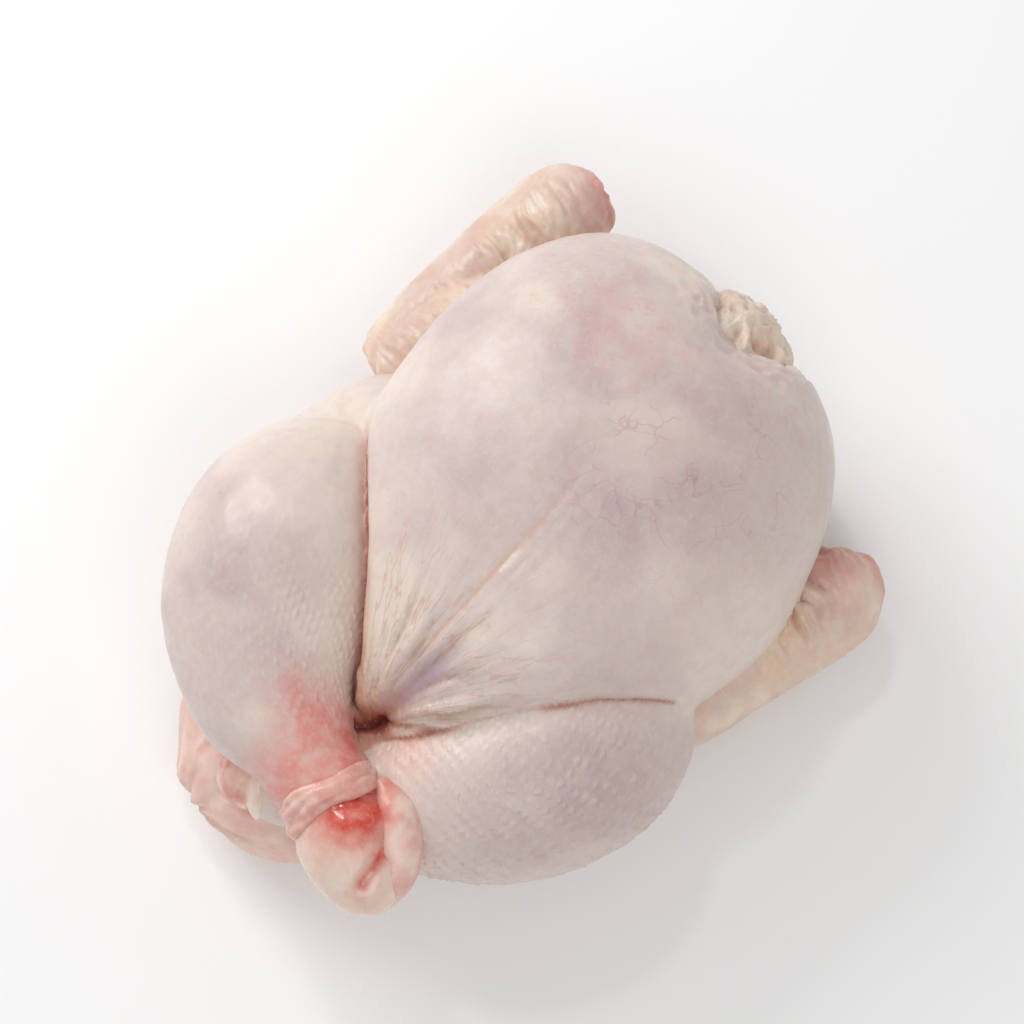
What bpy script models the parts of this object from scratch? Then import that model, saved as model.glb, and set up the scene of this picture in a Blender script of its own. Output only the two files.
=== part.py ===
"""Whole raw chicken on its back: breast up, drumsticks crossed over the tail, wings folded at the sides.

Blender 4.5, metres, +Z up, +X from the tail to the neck, origin in the middle of the footprint on the surface
that the bird lies on. The carcass is one solid: sections along each limb are lofted with bmesh, joined by a voxel
Remesh, smoothed as skin smooths flesh, thinned by Decimate, and cut flat where the back rests.
"""

import math
from typing import NamedTuple

import bmesh
import bpy
import numpy as np

# The bird's real length, and its length in the drawing below, whose every number is in drawing units.
LENGTH = 0.235
DRAWN_LENGTH = 255.3
UNIT = LENGTH / DRAWN_LENGTH
MIDDLE = np.array((-3.0, -0.2, 0.0))  # of the footprint, in the drawing, where X = 0 is under the breast

# Driving dimensions of the drawing.
BREAST_HEIGHT = 116.0
BREAST_HALF_WIDTH = 81.0
DRUMSTICK_HALF_WIDTH = 35.0
ANKLE_HALF_WIDTH = 16.0
KNUCKLE_HALF_WIDTH = 16.5
THIGH_HALF_WIDTH = 30.0
FOREARM_HALF_WIDTH = 15.0
KEEL_Y = -5.0  # the keel runs a little to one side of the middle

# How finely the solid is made, in drawing units and counts.
LOFT_STEP = 3.0
RING_POINTS = 56
VOXEL = 2.2
SMOOTHING_STEPS = 5
KEPT_TRIANGLES = 0.118

SKIN_COLOUR = (0.62, 0.50, 0.45, 1.0)
SKIN_ROUGHNESS = 0.42


class Girth(NamedTuple):
    """A section of the torso: its place along X, the reach of its two sides from the keel, and its heights."""

    x: float
    right: float
    left: float
    back: float
    flank: float
    breast: float


class Limb(NamedTuple):
    """A section of a leg or wing: its centre, and half its width and half its thickness."""

    x: float
    y: float
    z: float
    half_width: float
    half_thickness: float


W, H = BREAST_HALF_WIDTH, BREAST_HEIGHT
TORSO = (
    Girth(-112, 0.10 * W, 0.10 * W, 9, 14, 20),
    Girth(-104, 0.22 * W, 0.22 * W, 3, 16, 32),
    Girth(-90, 0.32 * W, 0.32 * W, -1, 24, 50),
    Girth(-76, 0.38 * W, 0.38 * W, -1, 36, 0.60 * H),
    Girth(-56, 0.50 * W, 0.52 * W, -1, 46, 0.76 * H),
    Girth(-30, 0.72 * W, 0.70 * W, -1, 54, 0.89 * H),
    Girth(0, 0.92 * W, 0.87 * W, -1, 60, 0.96 * H),
    Girth(36, 1.01 * W, 0.95 * W, -1, 62, 1.00 * H),
    Girth(66, 1.00 * W, 0.87 * W, -1, 61, 0.985 * H),
    Girth(88, 0.92 * W, 0.74 * W, 2, 58, 0.91 * H),
    Girth(104, 0.80 * W, 0.58 * W, 8, 55, 0.80 * H),
    Girth(114, 0.62 * W, 0.40 * W, 16, 52, 0.70 * H),
    Girth(119, 0.32 * W, 0.19 * W, 30, 49, 0.58 * H),
)

D, A, T, F = DRUMSTICK_HALF_WIDTH, ANKLE_HALF_WIDTH, THIGH_HALF_WIDTH, FOREARM_HALF_WIDTH
K = KNUCKLE_HALF_WIDTH
RIGHT_LEG = (
    Limb(-12, 64, 47, 0.55 * D, 0.60 * D),
    Limb(-26, 64, 53, 0.90 * D, 0.86 * D),
    Limb(-47, 59, 58, 1.10 * D, 1.00 * D),
    Limb(-70, 45, 61, 1.08 * D, 0.95 * D),
    Limb(-88, 25, 65, 0.84 * D, 0.76 * D),
    Limb(-97, 3, 70, 1.15 * A, 1.05 * A),
    Limb(-102, -15, 71, A, 0.95 * A),
    Limb(-107, -27, 70, 1.05 * K, K),
    Limb(-112, -40, 67, 0.88 * K, 0.85 * K),
    Limb(-116, -50, 65, 0.45 * K, 0.5 * K),
)
LEFT_LEG = (
    Limb(4, -60, 44, 0.60 * D, 0.60 * D),
    Limb(-10, -60, 48, 0.88 * D, 0.85 * D),
    Limb(-32, -58, 53, 1.03 * D, 0.98 * D),
    Limb(-54, -50, 54, 1.00 * D, 0.96 * D),
    Limb(-75, -34, 52, 0.82 * D, 0.76 * D),
    Limb(-93, -14, 48, 1.15 * A, 1.05 * A),
    Limb(-103, 2, 44, A, 0.95 * A),
    Limb(-110, 15, 42, 0.90 * K, 0.85 * K),
    Limb(-114, 25, 41, 0.55 * K, 0.55 * K),
)
RIGHT_THIGH = (
    Limb(30, 58, 34, 0.50 * T, 0.50 * T),
    Limb(12, 62, 32, 0.85 * T, 0.85 * T),
    Limb(-16, 66, 29, T, T),
    Limb(-46, 63, 27, 0.98 * T, 0.95 * T),
    Limb(-72, 50, 24, 0.85 * T, 0.80 * T),
    Limb(-96, 36, 20, 0.55 * T, 0.55 * T),
)
LEFT_THIGH = (
    Limb(28, -50, 34, 0.50 * T, 0.50 * T),
    Limb(12, -52, 32, 0.85 * T, 0.85 * T),
    Limb(-13, -55, 29, 0.97 * T, T),
    Limb(-42, -54, 27, 0.95 * T, 0.95 * T),
    Limb(-68, -44, 24, 0.75 * T, 0.80 * T),
    Limb(-90, -28, 20, 0.45 * T, 0.50 * T),
)
TAIL = (
    Limb(-70, 6, 22, 1.30 * D, 0.70 * D),
    Limb(-92, 16, 21, 1.20 * D, 0.64 * D),
    Limb(-109, 23, 19, 1.02 * D, 0.52 * D),
    Limb(-121, 27, 17, 0.74 * D, 0.38 * D),
    Limb(-128, 29, 16, 0.32 * D, 0.20 * D),
)
NECK = (
    Limb(84, -4, 42, 24, 26),
    Limb(102, -3, 43, 24, 24),
    Limb(113, -3, 44, 18, 19),
    Limb(119, -3, 44, 9, 10),
)
SKIN_FLAP = (
    Limb(-96, -26, 58, 8, 7),
    Limb(-98, -38, 56, 11, 6),
    Limb(-101, -49, 54, 9, 4.5),
    Limb(-103, -55, 53, 4, 3),
)
RIGHT_WING = (
    Limb(84, 52, 44, 0.9 * F, 1.2 * F),
    Limb(52, 74, 34, 1.1 * F, 1.3 * F),
    Limb(27, 82, 27, 0.9 * F, 1.1 * F),
    Limb(22, 85, 26, 0.5 * F, 0.8 * F),
)
RIGHT_FOREARM = (
    Limb(22, 90, 27, 0.55 * F, 0.6 * F),
    Limb(32, 88, 28, 0.85 * F, 0.9 * F),
    Limb(62, 86, 31, 1.00 * F, 1.0 * F),
    Limb(94, 82, 34, 1.15 * F, 1.1 * F),
    Limb(111, 78, 35, 1.20 * F, 1.1 * F),
    Limb(122, 74, 35, 0.65 * F, 0.7 * F),
)
RIGHT_HAND = (
    Limb(112, 75, 27, 0.9 * F, 0.8 * F),
    Limb(86, 77, 18, 0.9 * F, 0.7 * F),
    Limb(54, 84, 12, 0.7 * F, 0.55 * F),
    Limb(30, 91, 9, 0.35 * F, 0.35 * F),
)
LEFT_WING = (
    Limb(76, -48, 42, 0.9 * F, 1.2 * F),
    Limb(42, -66, 34, 1.1 * F, 1.3 * F),
    Limb(10, -72, 28, 0.9 * F, 1.1 * F),
    Limb(2, -73, 27, 0.5 * F, 0.8 * F),
)
LEFT_FOREARM = (
    Limb(-2, -74, 27, 0.55 * F, 0.6 * F),
    Limb(10, -75, 27, 0.85 * F, 0.9 * F),
    Limb(36, -79, 27, 1.00 * F, 1.0 * F),
    Limb(62, -83, 26, 1.15 * F, 1.1 * F),
    Limb(78, -85, 25, 1.10 * F, 1.1 * F),
    Limb(89, -87, 23, 0.60 * F, 0.7 * F),
)
LEFT_HAND = (
    Limb(82, -80, 20, 0.9 * F, 0.8 * F),
    Limb(58, -74, 12, 0.9 * F, 0.6 * F),
    Limb(30, -70, 8, 0.7 * F, 0.45 * F),
    Limb(8, -66, 6, 0.35 * F, 0.35 * F),
)
LIMBS = (RIGHT_LEG, LEFT_LEG, RIGHT_THIGH, LEFT_THIGH, TAIL, NECK, SKIN_FLAP)
LIMBS += (RIGHT_WING, RIGHT_FOREARM, RIGHT_HAND, LEFT_WING, LEFT_FOREARM, LEFT_HAND)


def clear_scene():
    for obj in list(bpy.data.objects):
        bpy.data.objects.remove(obj, do_unlink=True)


def spline(sections, step):
    """The sections' numbers on a smooth Catmull-Rom curve through them, about one row every step."""
    rows = np.array(sections, float)
    padded = np.vstack([2 * rows[0] - rows[1], rows, 2 * rows[-1] - rows[-2]])
    made = []
    for before, start, end, after in zip(padded, padded[1:], padded[2:], padded[3:]):
        count = max(2, round(np.linalg.norm((end - start)[:3]) / step))
        t = np.arange(count)[:, None] / count
        made.append(
            0.5
            * (
                2 * start
                + (end - before) * t
                + (2 * before - 5 * start + 4 * end - after) * t**2
                + (3 * start - before - 3 * end + after) * t**3
            )
        )
    return np.vstack([*made, rows[-1:]])


def add_loft(mesh, rings):
    """One closed tube through the rings, each an array of points, with a fan over either end."""
    loops = [[mesh.verts.new((point - MIDDLE) * UNIT) for point in ring] for ring in rings]
    for near, far in zip(loops, loops[1:]):
        for i, corner in enumerate(near):
            j = (i + 1) % len(near)
            mesh.faces.new((corner, near[j], far[j], far[i]))
    for loop, turned in ((loops[0], True), (loops[-1], False)):
        mesh.faces.new(loop[::-1] if turned else loop)


def torso_rings():
    """Rounded sections with a flat back, whose breast has two lobes and the keel's shallow groove between them."""
    angle = np.linspace(0, 2 * math.pi, RING_POINTS, endpoint=False)
    side, rise = np.cos(angle), np.sin(angle)
    power = np.where(rise > 0, 2 / 2.15, 2 / 2.7)
    across = np.sign(side) * np.abs(side) ** power
    height = np.abs(rise) ** power
    for x, right, left, back, flank, breast in spline(TORSO, LOFT_STEP):
        y = np.where(side > 0, right, left) * across
        z = np.where(rise > 0, flank + (breast - flank) * height, flank - (flank - back) * height)
        groove = 3.0 * math.exp(-(((x - 10) / 70) ** 2))
        z = z - np.where(rise > 0, groove * np.exp(-((y / 7) ** 2)), 0)
        notch = 14.0 * max(0.0, (x - 84) / 33) * np.exp(-((y / 17) ** 2))
        yield np.stack([x - notch, KEEL_Y + y, z], axis=1)


def limb_rings(sections):
    """Oval sections square to the limb's own line, each as wide as the skin and as thick as the flesh."""
    rows = spline(sections, LOFT_STEP)
    tangents = np.gradient(rows[:, :3], axis=0)
    angle = np.linspace(0, 2 * math.pi, RING_POINTS // 2, endpoint=False)
    for row, tangent in zip(rows, tangents):
        along = tangent / np.linalg.norm(tangent)
        side = np.cross((0, 0, 1), along)
        side /= np.linalg.norm(side)
        up = np.cross(along, side)
        yield (
            row[:3]
            + row[3] * np.cos(angle)[:, None] * side
            + row[4] * np.sin(angle)[:, None] * up
        )


def loft_everything():
    mesh = bmesh.new()
    add_loft(mesh, list(torso_rings()))
    for limb in LIMBS:
        add_loft(mesh, list(limb_rings(limb)))
    bmesh.ops.recalc_face_normals(mesh, faces=mesh.faces)
    data = bpy.data.meshes.new("chicken")
    mesh.to_mesh(data)
    mesh.free()
    return data


def skin_material():
    material = bpy.data.materials.new("raw_skin")
    material.use_nodes = True
    shader = material.node_tree.nodes["Principled BSDF"]
    shader.inputs["Base Color"].default_value = SKIN_COLOUR
    shader.inputs["Roughness"].default_value = SKIN_ROUGHNESS
    shader.inputs["Metallic"].default_value = 0.0
    return material


def floor_cutter():
    """A slab whose top is the surface that the bird lies on."""
    slab = bmesh.new()
    bmesh.ops.create_cube(slab, size=1.0)
    bmesh.ops.scale(slab, vec=(0.5, 0.5, 0.05), verts=slab.verts)
    bmesh.ops.translate(slab, vec=(0, 0, -0.025), verts=slab.verts)
    data = bpy.data.meshes.new("floor_cutter")
    slab.to_mesh(data)
    slab.free()
    cutter = bpy.data.objects.new("floor_cutter", data)
    cutter.hide_render = True
    cutter.display_type = "WIRE"
    bpy.context.scene.collection.objects.link(cutter)
    return cutter


def build_chicken():
    chicken = bpy.data.objects.new("chicken", loft_everything())
    bpy.context.scene.collection.objects.link(chicken)
    chicken.data.materials.append(skin_material())
    union = chicken.modifiers.new("one_skin", "REMESH")
    union.mode = "VOXEL"
    union.voxel_size = VOXEL * UNIT
    union.use_smooth_shade = True
    smooth = chicken.modifiers.new("soften", "SMOOTH")
    smooth.factor = 0.5
    smooth.iterations = SMOOTHING_STEPS
    thin = chicken.modifiers.new("thin_out", "DECIMATE")
    thin.ratio = KEPT_TRIANGLES
    rest = chicken.modifiers.new("rest_flat", "BOOLEAN")
    rest.operation = "DIFFERENCE"
    rest.solver = "EXACT"
    rest.object = floor_cutter()
    return chicken


clear_scene()
build_chicken()
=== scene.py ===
"""Looks of the whole raw chicken: fine skin over the CAD solid, with its wings, neck skin, tail and cut ends.

Shapes are drawn in the same drawing units as the part, then brought to real size. The skin is one fine mesh
made from lofted sections, and folds, pits and follicles are pressed into it by formula. Masks on the mesh say
where the skin is fatty, thin over the muscle, bruised, veined or wet, and one flesh material reads them.
"""

import itertools
import math
from typing import NamedTuple

import bpy
import numpy as np
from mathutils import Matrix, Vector
from mathutils.bvhtree import BVHTree


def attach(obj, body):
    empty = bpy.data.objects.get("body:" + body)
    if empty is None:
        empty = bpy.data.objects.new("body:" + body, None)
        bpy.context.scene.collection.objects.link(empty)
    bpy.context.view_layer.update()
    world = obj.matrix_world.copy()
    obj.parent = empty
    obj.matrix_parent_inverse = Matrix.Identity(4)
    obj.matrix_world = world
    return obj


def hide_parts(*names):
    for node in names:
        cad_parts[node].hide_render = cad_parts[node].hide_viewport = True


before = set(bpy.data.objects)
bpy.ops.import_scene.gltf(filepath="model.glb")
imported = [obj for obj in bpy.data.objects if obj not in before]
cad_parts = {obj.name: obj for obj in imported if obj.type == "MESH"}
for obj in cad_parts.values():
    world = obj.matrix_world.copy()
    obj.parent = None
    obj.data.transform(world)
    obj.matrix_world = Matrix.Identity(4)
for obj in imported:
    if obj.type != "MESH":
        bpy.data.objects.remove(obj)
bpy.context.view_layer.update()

# The drawing, as in the part: 255.3 drawing units are 235 mm.
UNIT = 0.235 / 255.3
MIDDLE = np.array((-3.0, -0.2, 0.0))
W, H = 81.0, 116.0
D, A, T, F, K = 35.0, 16.0, 30.0, 15.0, 16.5
KEEL_Y = -5.0

# Mesh sizes, in drawing units.
SKIN_VOXEL = 1.18
FINE_VOXEL = 0.8
SKIN_FACES = 196000

# Places on the bird, in drawing units.
VENT = np.array((-76.0, -5.0))
KEEL_LINE = ((70, -5), (24, -6), (-2, -7), (-30, -7), (-54, -7), (-72, -4))
RIGHT_CREASE = ((12, 83), (-2, 74), (-17, 58), (-30, 41), (-38, 30), (-51, 19), (-66, 9), (-77, 0))
LEFT_CREASE = ((-74, -9), (-67, -22), (-56, -32), (-43, -40), (-27, -50), (-15, -59), (0, -72), (3, -75))
SLIT_LINE = ((-81, 3), (-77, -3), (-73, -9))
HOLLOW_LINE = ((-76, -6), (-60, -10), (-36, -15))
# Folds that fan out from the vent: their turn from +X in degrees, their reach and their height.
VENT_FOLDS = (
    (-50, 40, 1.6),
    (-41, 62, 1.9),
    (-31, 38, 1.3),
    (-22, 56, 1.5),
    (-15, 34, 1.1),
    (-9, 62, 1.3),
    (-1, 44, 1.2),
    (6, 58, 1.5),
    (13, 40, 1.2),
    (21, 56, 1.3),
    (29, 38, 1.4),
    (38, 34, 1.7),
    (47, 30, 1.6),
)
# How far the breast sinks beside each drumstick, away from the vent and at it, and how wide that valley is.
SINKS = (("right_leg", 5.0, 6.0, 2.4, 4.0), ("left_leg", 5.5, 4.5, 1.9, 2.6))
# Patches of colour: their centre, radius and strength.
BREAST_MAUVE = (
    ((38, -24), 38, 0.95),
    ((64, 20), 27, 0.95),
    ((70, -14), 30, 0.7),
    ((2, 26), 26, 0.6),
    ((44, 70), 20, 0.55),
    # The last two darken the breast as painted shade, in the mauve tone.
    ((-18, 15), 22, 0.5),
    ((0, -48), 24, 0.5),
)
RIGHT_LEG_MAUVE = (((-60, 58), 34, 0.95), ((-84, 40), 26, 0.75))
LEFT_LEG_MAUVE = (((-40, -68), 36, 0.8),)
FAT = (((-4, 82), 20, 0.9), ((30, -72), 26, 0.9))


class Girth(NamedTuple):
    """A section of the torso: its place along X, the reach of each side from the keel, and its heights."""

    x: float
    right: float
    left: float
    back: float
    flank: float
    breast: float


class Limb(NamedTuple):
    """A section of a leg or wing: its centre, and half its width and half its thickness."""

    x: float
    y: float
    z: float
    half_width: float
    half_thickness: float


TORSO = (
    Girth(-112, 0.10 * W, 0.10 * W, 9, 14, 20),
    Girth(-104, 0.22 * W, 0.22 * W, 3, 16, 32),
    Girth(-90, 0.32 * W, 0.32 * W, -1, 24, 50),
    Girth(-76, 0.38 * W, 0.38 * W, -1, 36, 0.60 * H),
    Girth(-56, 0.50 * W, 0.52 * W, -1, 46, 0.76 * H),
    Girth(-30, 0.72 * W, 0.70 * W, -1, 54, 0.89 * H),
    Girth(0, 0.92 * W, 0.87 * W, -1, 60, 0.96 * H),
    Girth(36, 1.01 * W, 0.95 * W, -1, 62, 1.00 * H),
    Girth(66, 1.00 * W, 0.87 * W, -1, 61, 0.985 * H),
    Girth(88, 0.92 * W, 0.74 * W, 2, 58, 0.91 * H),
    Girth(104, 0.80 * W, 0.58 * W, 8, 55, 0.80 * H),
    Girth(114, 0.62 * W, 0.40 * W, 16, 52, 0.70 * H),
    Girth(119, 0.32 * W, 0.19 * W, 30, 49, 0.58 * H),
)
RIGHT_LEG = (
    Limb(-12, 64, 47, 0.55 * D, 0.60 * D),
    Limb(-26, 64, 53, 0.90 * D, 0.86 * D),
    Limb(-47, 59, 58, 1.10 * D, 1.00 * D),
    Limb(-70, 45, 61, 1.08 * D, 0.95 * D),
    Limb(-88, 25, 65, 0.84 * D, 0.76 * D),
    Limb(-97, 3, 70, 1.15 * A, 1.05 * A),
    Limb(-102, -15, 71, A, 0.95 * A),
    Limb(-106, -22, 70, 0.80 * A, 0.80 * A),
)
RIGHT_KNUCKLE = (
    Limb(-100, -9, 71, 0.80 * A, 0.80 * A),
    Limb(-103, -18, 70.5, 0.92 * K, 0.90 * K),
    Limb(-107, -28, 70, 1.06 * K, 1.00 * K),
    Limb(-112, -40, 67, 0.90 * K, 0.87 * K),
    Limb(-115.5, -48, 65, 0.58 * K, 0.60 * K),
    Limb(-117, -51, 64, 0.25 * K, 0.28 * K),
)
LEFT_LEG = (
    Limb(4, -60, 44, 0.60 * D, 0.60 * D),
    Limb(-10, -60, 48, 0.88 * D, 0.85 * D),
    Limb(-32, -58, 53, 1.03 * D, 0.98 * D),
    Limb(-54, -50, 54, 1.00 * D, 0.96 * D),
    Limb(-75, -34, 52, 0.82 * D, 0.76 * D),
    Limb(-93, -14, 48, 1.15 * A, 1.05 * A),
    Limb(-103, 2, 44, A, 0.95 * A),
    Limb(-108, 11, 42, 0.90 * K, 0.85 * K),
)
LEFT_KNUCKLE = (
    Limb(-103, 2, 44, 0.80 * A, 0.75 * A),
    Limb(-109, 13, 42.5, 0.88 * K, 0.84 * K),
    Limb(-113, 21, 41.5, 0.80 * K, 0.76 * K),
    Limb(-115, 26, 41, 0.50 * K, 0.50 * K),
)
RIGHT_THIGH = (
    Limb(30, 58, 34, 0.50 * T, 0.50 * T),
    Limb(12, 62, 32, 0.85 * T, 0.85 * T),
    Limb(-16, 66, 29, T, T),
    Limb(-46, 63, 27, 0.98 * T, 0.95 * T),
    Limb(-72, 50, 24, 0.85 * T, 0.80 * T),
    Limb(-96, 36, 20, 0.55 * T, 0.55 * T),
)
LEFT_THIGH = (
    Limb(28, -50, 34, 0.50 * T, 0.50 * T),
    Limb(12, -52, 32, 0.85 * T, 0.85 * T),
    Limb(-13, -55, 29, 0.97 * T, T),
    Limb(-42, -54, 27, 0.95 * T, 0.95 * T),
    Limb(-68, -44, 24, 0.75 * T, 0.80 * T),
    Limb(-90, -28, 20, 0.45 * T, 0.50 * T),
)
# The rolls of skin round the ankle: their place along the leg, radius and thickness.
COLLAR_ROLLS = ((-5.0, 15.6, 1.6), (-2.2, 16.0, 1.9), (0.6, 16.0, 1.8), (3.2, 15.4, 1.7))
VENT_FLOOR = (
    Limb(-92, 10, 54, 4, 4),
    Limb(-84, 3, 59, 8, 8),
    Limb(-72, -10, 61, 9, 8),
    Limb(-60, -22, 58, 6, 6),
)
TAIL = (
    Limb(-70, 6, 22, 1.30 * D, 0.70 * D),
    Limb(-92, 16, 21, 1.20 * D, 0.64 * D),
    Limb(-109, 23, 19, 1.02 * D, 0.52 * D),
    Limb(-121, 27, 17, 0.74 * D, 0.38 * D),
    Limb(-128, 29, 16, 0.32 * D, 0.20 * D),
)
NECK = (
    Limb(84, -2, 56, 27, 27),
    Limb(98, -3, 57, 26, 26),
    Limb(106, -3, 55, 23, 23),
    Limb(112, -3, 51, 16, 16),
)
SKIN_FLAP = (
    Limb(-86, -22, 74, 3, 3),
    Limb(-90, -31, 75, 7, 6),
    Limb(-96, -39, 73, 9, 8),
    Limb(-104, -45, 70, 9, 8),
    Limb(-112, -47, 67, 7, 6),
    Limb(-118, -46, 65, 3.5, 3),
)
RIGHT_WING = (
    Limb(84, 52, 44, 0.9 * F, 1.2 * F),
    Limb(52, 74, 34, 1.1 * F, 1.3 * F),
    Limb(27, 82, 27, 0.9 * F, 1.1 * F),
    Limb(22, 85, 26, 0.5 * F, 0.8 * F),
)
RIGHT_FOREARM = (
    Limb(22, 90, 27, 0.55 * F, 0.6 * F),
    Limb(32, 88, 28, 0.85 * F, 0.9 * F),
    Limb(62, 86, 31, 1.00 * F, 1.0 * F),
    Limb(94, 82, 34, 1.15 * F, 1.1 * F),
    Limb(111, 78, 35, 1.20 * F, 1.1 * F),
    Limb(122, 74, 35, 0.65 * F, 0.7 * F),
)
RIGHT_HAND = (
    Limb(112, 75, 27, 0.9 * F, 0.8 * F),
    Limb(86, 77, 18, 0.9 * F, 0.7 * F),
    Limb(54, 84, 12, 0.7 * F, 0.55 * F),
    Limb(30, 91, 9, 0.35 * F, 0.35 * F),
)
LEFT_WING = (
    Limb(76, -48, 42, 0.9 * F, 1.2 * F),
    Limb(42, -66, 34, 1.1 * F, 1.3 * F),
    Limb(10, -72, 28, 0.9 * F, 1.1 * F),
    Limb(2, -73, 27, 0.5 * F, 0.8 * F),
)
LEFT_FOREARM = (
    Limb(-2, -74, 27, 0.55 * F, 0.6 * F),
    Limb(10, -75, 27, 0.85 * F, 0.9 * F),
    Limb(36, -79, 27, 1.00 * F, 1.0 * F),
    Limb(62, -83, 26, 1.15 * F, 1.1 * F),
    Limb(78, -85, 25, 1.10 * F, 1.1 * F),
    Limb(89, -87, 23, 0.60 * F, 0.7 * F),
)
LEFT_HAND = (
    Limb(82, -80, 20, 0.9 * F, 0.8 * F),
    Limb(58, -74, 12, 0.9 * F, 0.6 * F),
    Limb(30, -70, 8, 0.7 * F, 0.45 * F),
    Limb(8, -66, 6, 0.35 * F, 0.35 * F),
)


# ---------------------------------------------------------------- shapes as arrays


def spline(sections, step):
    """The sections' numbers on a smooth Catmull-Rom curve through them, about one row every step."""
    rows = np.array(sections, float)
    padded = np.vstack([2 * rows[0] - rows[1], rows, 2 * rows[-1] - rows[-2]])
    made = []
    for before, start, end, after in zip(padded, padded[1:], padded[2:], padded[3:]):
        count = max(2, round(np.linalg.norm((end - start)[:3]) / step))
        t = np.arange(count)[:, None] / count
        made.append(
            0.5
            * (
                2 * start
                + (end - before) * t
                + (2 * before - 5 * start + 4 * end - after) * t**2
                + (3 * start - before - 3 * end + after) * t**3
            )
        )
    return np.vstack([*made, rows[-1:]])


def torso_rings(step=1.2, count=320):
    """Rounded sections with a flat back, whose breast has a shallow groove along the keel."""
    angle = np.linspace(0, 2 * math.pi, count, endpoint=False)
    side, rise = np.cos(angle), np.sin(angle)
    power = np.where(rise > 0, 2 / 2.15, 2 / 2.7)
    across = np.sign(side) * np.abs(side) ** power
    height = np.abs(rise) ** power
    for x, right, left, back, flank, breast in spline(TORSO, step):
        y = np.where(side > 0, right, left) * across
        z = np.where(rise > 0, flank + (breast - flank) * height, flank - (flank - back) * height)
        groove = 1.4 * math.exp(-(((x - 10) / 70) ** 2))
        z = z - np.where(rise > 0, groove * np.exp(-((y / 11) ** 2)), 0)
        notch = 14.0 * max(0.0, (x - 84) / 33) * np.exp(-((y / 17) ** 2))
        yield np.stack([x - notch, KEEL_Y + y, z], axis=1)


def limb_rings(sections, step=1.5, count=72):
    """Oval sections square to the limb's own line."""
    rows = spline(sections, step)
    tangents = np.gradient(rows[:, :3], axis=0)
    angle = np.linspace(0, 2 * math.pi, count, endpoint=False)
    for row, tangent in zip(rows, tangents):
        along = tangent / np.linalg.norm(tangent)
        side = np.cross((0, 0, 1), along)
        side /= np.linalg.norm(side)
        up = np.cross(along, side)
        yield row[:3] + row[3] * np.cos(angle)[:, None] * side + row[4] * np.sin(angle)[:, None] * up


class Surface:
    """A closed mesh as arrays of points and triangles, in drawing units."""

    def __init__(self, at, faces):
        self.at = np.asarray(at, float)
        self.faces = np.asarray(faces, int)
        self.masks = {}
        pairs = np.vstack([self.faces[:, (0, 1)], self.faces[:, (1, 2)], self.faces[:, (2, 0)]])
        self.edges = np.unique(np.sort(pairs, axis=1), axis=0)
        self.degree = np.maximum(np.bincount(self.edges.ravel(), minlength=len(self.at)), 1)

    def normals(self):
        a, b, c = (self.at[self.faces[:, i]] for i in range(3))
        across = np.cross(b - a, c - a)
        total = np.zeros_like(self.at)
        for i in range(3):
            for axis in range(3):
                total[:, axis] += np.bincount(self.faces[:, i], across[:, axis], len(self.at))
        return total / np.maximum(np.linalg.norm(total, axis=1), 1e-12)[:, None]

    def spread(self, values):
        """Each point's mean over its neighbours."""
        a, b = self.edges.T
        count = len(self.at)
        columns = values.reshape(count, -1).T
        sums = [np.bincount(a, col[b], count) + np.bincount(b, col[a], count) for col in columns]
        return (np.array(sums) / self.degree).T.reshape(values.shape)

    def smooth(self, steps, weight=1.0, factor=0.5):
        weight = np.broadcast_to(weight, len(self.at))[:, None] * factor
        for _ in range(steps):
            self.at = self.at + weight * (self.spread(self.at) - self.at)

    def blur(self, values, steps):
        for _ in range(steps):
            values = 0.4 * values + 0.6 * self.spread(values)
        return values

    def push(self, height, blur=0):
        """Moves the points out along the normals by height."""
        if blur:
            height = self.blur(height, blur)
        self.at = self.at + self.normals() * height[:, None]

    def tree(self):
        return BVHTree.FromPolygons(self.at.tolist(), self.faces.tolist())


def loft(rings):
    """A closed tube through the rings."""
    rings = [np.asarray(ring) for ring in rings]
    n = len(rings[0])
    points = np.vstack([*rings, rings[0].mean(axis=0)[None], rings[-1].mean(axis=0)[None]])
    faces = []
    i = np.arange(n)
    j = (i + 1) % n
    for k in range(len(rings) - 1):
        near, far = k * n, (k + 1) * n
        faces.append(np.stack([near + i, near + j, far + j], axis=1))
        faces.append(np.stack([near + i, far + j, far + i], axis=1))
    first, last = len(points) - 2, len(points) - 1
    end = (len(rings) - 1) * n
    faces.append(np.stack([j, i, np.full(n, first)], axis=1))
    faces.append(np.stack([end + i, end + j, np.full(n, last)], axis=1))
    surface = Surface(points, np.vstack(faces))
    a, b, c = (surface.at[surface.faces[:, i]] for i in range(3))
    if np.einsum("ij,ij->i", a, np.cross(b, c)).sum() < 0:
        surface.faces = surface.faces[:, ::-1]
    return surface


def limb(sections, **kwargs):
    return loft(limb_rings(sections, **kwargs))


def mesh_of(surface, name):
    mesh = bpy.data.meshes.new(name)
    count = len(surface.faces)
    mesh.vertices.add(len(surface.at))
    mesh.vertices.foreach_set("co", surface.at.ravel())
    mesh.loops.add(3 * count)
    mesh.loops.foreach_set("vertex_index", surface.faces.ravel())
    mesh.polygons.add(count)
    mesh.polygons.foreach_set("loop_start", np.arange(count) * 3)
    mesh.update(calc_edges=True)
    return mesh


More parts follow.
